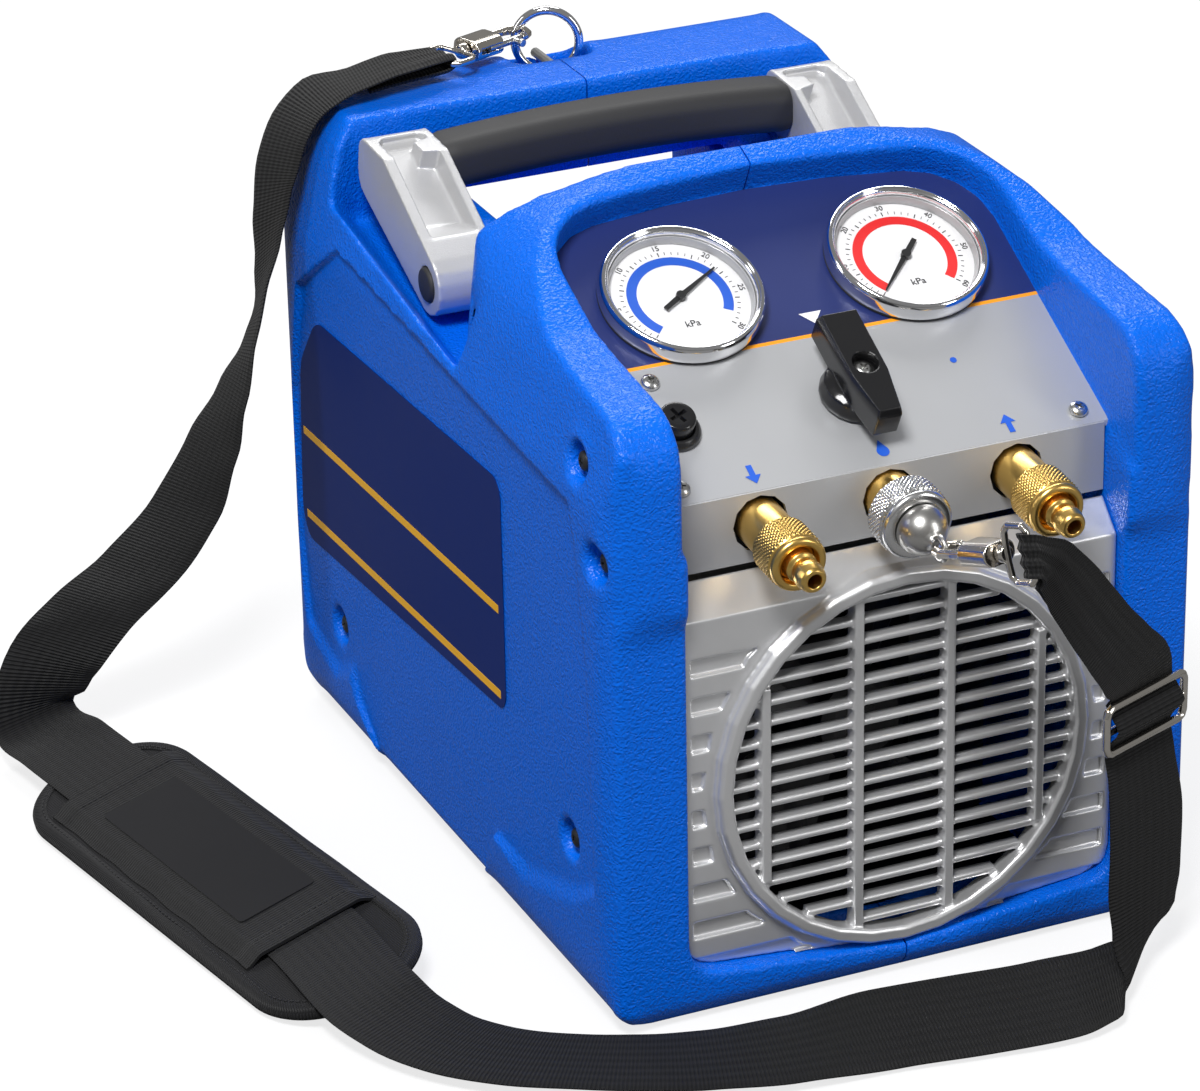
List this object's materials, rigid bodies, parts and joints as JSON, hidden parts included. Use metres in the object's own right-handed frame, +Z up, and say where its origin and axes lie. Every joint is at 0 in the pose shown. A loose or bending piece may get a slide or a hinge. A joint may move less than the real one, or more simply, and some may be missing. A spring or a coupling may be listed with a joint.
{
  "type": "portable refrigerant recovery machine",
  "caption": "Portable refrigerant recovery machine: moulded clamshell with louvred fan guard, sloping gauge panel, flare ports, carrying handle and clipped-on shoulder strap.",
  "frame": {"origin": "on the surface that the machine stands on, under the middle of the machine without its strap", "axes": "+Z up, -Y out of the front with the fan guard, ports and gauges, +X to the right as seen from the front"},
  "size_m": [0.379, 0.4121, 0.2819],
  "materials": {
    "blue_housing": "textured royal blue",
    "silver_paint": "satin silver",
    "cast_aluminium": "cast, satin",
    "black_plastic": "satin black",
    "black_rubber": "soft black",
    "brass": "turned",
    "chrome": "bright plated",
    "steel": "zinc plated",
    "dial_white": "white",
    "clear_lens": "clear",
    "dark_metal": "dark satin",
    "copper_fins": "finned coil",
    "webbing": "black woven"
  },
  "bodies": {
    "machine": {"chassis": "dark_metal", "compressor": "cast_aluminium", "condenser_coil": "copper_fins", "control_panel": "silver_paint", "drive_motor": "dark_metal", "fan_guard": "silver_paint", "fan_motor": "dark_metal", "fuse_holder": "black_plastic", "gauge_left_case": "chrome", "gauge_left_dial": "dial_white", "gauge_left_lens": "clear_lens", "gauge_right_case": "chrome", "gauge_right_dial": "dial_white", "gauge_right_lens": "clear_lens", "handle_arm_left": "cast_aluminium", "handle_arm_right": "cast_aluminium", "handle_grip": "black_rubber", "handle_plug_left": "black_rubber", "handle_plug_right": "black_rubber", "hook_lower_eye": "chrome", "hook_upper_eye": "chrome", "inlet_port": "brass", "manifold_block": "dark_metal", "outlet_port": "brass", "panel_screw_1": "steel", "panel_screw_2": "steel", "panel_screw_3": "steel", "power_inlet": "black_plastic", "purge_cap": "chrome", "purge_port": "brass", "rear_grille": "silver_paint", "ring_pin": "steel", "selector_valve": "brass", "shell_left": "blue_housing", "shell_right": "blue_housing", "strap_pad": "webbing", "strap_slider": "chrome", "strap_webbing": "webbing", "switch_body": "black_plastic"},
    "knob": {"selector_knob": "black_plastic", "knob_screw": "steel"},
    "fuse": {"fuse_cap": "black_plastic"},
    "needle_left": {"gauge_left_needle": "black_plastic"},
    "needle_right": {"gauge_right_needle": "black_plastic"},
    "fan": {"fan_rotor": "black_plastic"},
    "inlet_collar": {"inlet_sleeve": "brass"},
    "outlet_collar": {"outlet_sleeve": "brass"},
    "purge_collar": {"purge_nut": "chrome"},
    "ring": {"strap_ring": "chrome"},
    "rocker": {"power_rocker": "black_plastic"},
    "hook_upper": {"hook_upper_body": "chrome"},
    "hook_upper_gate": {"hook_upper_bolt": "steel"},
    "hook_lower": {"hook_lower_body": "chrome"},
    "hook_lower_gate": {"hook_lower_bolt": "steel"}
  },
  "joints": [
    {"name": "selector_turn", "type": "hinge", "parent": "machine", "child": "knob", "pos_m": [0, -0.10956, 0.21599], "axis": [0, -0.4695, 0.8829], "range_deg": [-180, 0]},
    {"name": "fuse_cap_turn", "type": "hinge", "parent": "machine", "child": "fuse", "pos_m": [-0.072, -0.10956, 0.21599], "axis": [0, -0.4695, 0.8829], "range_deg": [0, 90]},
    {"name": "left_needle_turn", "type": "hinge", "parent": "machine", "child": "needle_left", "pos_m": [-0.046, -0.05879, 0.24298], "axis": [0, -0.4695, 0.8829], "range_deg": [-75, 195], "stiffness_Nm_per_rad": 0.01},
    {"name": "right_needle_turn", "type": "hinge", "parent": "machine", "child": "needle_right", "pos_m": [0.046, -0.05879, 0.24298], "axis": [0, -0.4695, 0.8829], "range_deg": [-270, 0], "stiffness_Nm_per_rad": 0.01},
    {"name": "fan_spin", "type": "hinge", "parent": "machine", "child": "fan", "pos_m": [0, -0.1097, 0.0893], "axis": [0, -1, 0], "continuous": true},
    {"name": "inlet_collar_turn", "type": "hinge", "parent": "machine", "child": "inlet_collar", "pos_m": [-0.0515, -0.1387, 0.188], "axis": [0, -0.9945, -0.1045], "continuous": true},
    {"name": "outlet_collar_turn", "type": "hinge", "parent": "machine", "child": "outlet_collar", "pos_m": [0.0515, -0.1387, 0.188], "axis": [0, -0.9945, -0.1045], "continuous": true},
    {"name": "purge_nut_turn", "type": "hinge", "parent": "machine", "child": "purge_collar", "pos_m": [0, -0.1387, 0.188], "axis": [0, -0.9945, -0.1045], "continuous": true},
    {"name": "ring_swing", "type": "hinge", "parent": "machine", "child": "ring", "pos_m": [0, 0.1683, 0.257], "axis": [0, -1, 0], "range_deg": [0, 3]},
    {"name": "rocker_tilt", "type": "hinge", "parent": "machine", "child": "rocker", "pos_m": [0.046, 0.1768, 0.122], "axis": [1, 0, 0], "range_deg": [0, 16]},
    {"name": "upper_hook_swivel", "type": "hinge", "parent": "machine", "child": "hook_upper", "pos_m": [-0.0379, 0.1631, 0.2694], "axis": [0.9326, 0.361, 0], "range_deg": [-5, 5]},
    {"name": "upper_hook_gate", "type": "slide", "parent": "hook_upper", "child": "hook_upper_gate", "axis": [0.9326, 0.361, 0], "range_m": [-0.005, 0], "stiffness_N_per_m": 300, "springref_m": 0.003},
    {"name": "lower_hook_swivel", "type": "hinge", "parent": "machine", "child": "hook_lower", "pos_m": [0.0078, -0.2085, 0.1932], "axis": [-0.2703, 0.9211, -0.2803], "range_deg": [-5, 5]},
    {"name": "lower_hook_gate", "type": "slide", "parent": "hook_lower", "child": "hook_lower_gate", "axis": [-0.2703, 0.9211, -0.2803], "range_m": [-0.005, 0], "stiffness_N_per_m": 300, "springref_m": 0.003}
  ]
}
